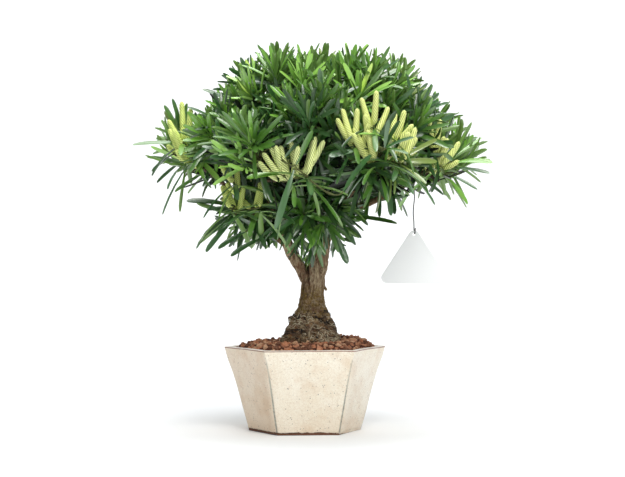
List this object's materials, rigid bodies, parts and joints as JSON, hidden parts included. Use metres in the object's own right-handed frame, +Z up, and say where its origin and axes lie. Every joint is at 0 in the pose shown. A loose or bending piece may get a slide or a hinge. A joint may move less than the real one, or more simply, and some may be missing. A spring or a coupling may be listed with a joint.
{
  "type": "potted podocarpus bonsai",
  "caption": "Small potted podocarpus bonsai: a low forked trunk, a broad crown of strap-like leaves with pollen cones, and a blank hanging tag, in a hexagonal glazed pot.",
  "frame": {"origin": "centre of the pot's flat underside", "axes": "+Z up along the trunk, -Y the front that the pot's broad face is turned to, +X to the right seen from the front"},
  "size_m": [0.4645, 0.4049, 0.5034],
  "materials": {
    "glaze": "cream crackle glaze with fine brown specks",
    "soil": "red-brown lava grit, matte",
    "bark": "rough grey-brown bark",
    "foliage": "glossy dark green leaves",
    "pollen_cones": "pale yellow-green, scaly",
    "tag": "plain white",
    "wire": "dark coated wire"
  },
  "bodies": {
    "root": {"bough_low_back": "bark", "bough_low_front": "bark", "bough_low_left": "bark", "bough_low_right": "bark", "bough_shoulder_back": "bark", "bough_shoulder_back_left": "bark", "bough_shoulder_back_right": "bark", "bough_shoulder_front": "bark", "bough_shoulder_front_left": "bark", "bough_shoulder_front_right": "bark", "bough_skirt_back": "bark", "bough_skirt_back_left": "bark", "bough_skirt_back_right": "bark", "bough_skirt_front_left": "bark", "bough_skirt_front_right": "bark", "bough_skirt_left": "bark", "bough_skirt_right": "bark", "bough_top_back": "bark", "bough_top_front_left": "bark", "bough_top_front_right": "bark", "bough_top_left": "bark", "bough_top_right": "bark", "cones_back_left": "pollen_cones", "cones_back_right": "pollen_cones", "cones_far_left": "pollen_cones", "cones_far_right": "pollen_cones", "cones_front_left": "pollen_cones", "cones_front_right": "pollen_cones", "cones_low_left": "pollen_cones", "foliage_apex_front": "foliage", "foliage_low_back": "foliage", "foliage_low_front": "foliage", "foliage_low_left": "foliage", "foliage_low_right": "foliage", "foliage_shoulder_back": "foliage", "foliage_shoulder_back_left": "foliage", "foliage_shoulder_back_right": "foliage", "foliage_shoulder_front": "foliage", "foliage_shoulder_front_left": "foliage", "foliage_shoulder_front_right": "foliage", "foliage_skirt_back": "foliage", "foliage_skirt_back_left": "foliage", "foliage_skirt_back_right": "foliage", "foliage_skirt_front_left": "foliage", "foliage_skirt_front_right": "foliage", "foliage_skirt_left": "foliage", "foliage_skirt_right": "foliage", "foliage_top_back": "foliage", "foliage_top_front_left": "foliage", "foliage_top_front_right": "foliage", "foliage_top_left": "foliage", "foliage_top_right": "foliage", "limb_left": "bark", "pot": "glaze", "soil": "soil", "tag": "tag", "tag_wire": "wire", "trunk": "bark"}
  },
  "joints": []
}
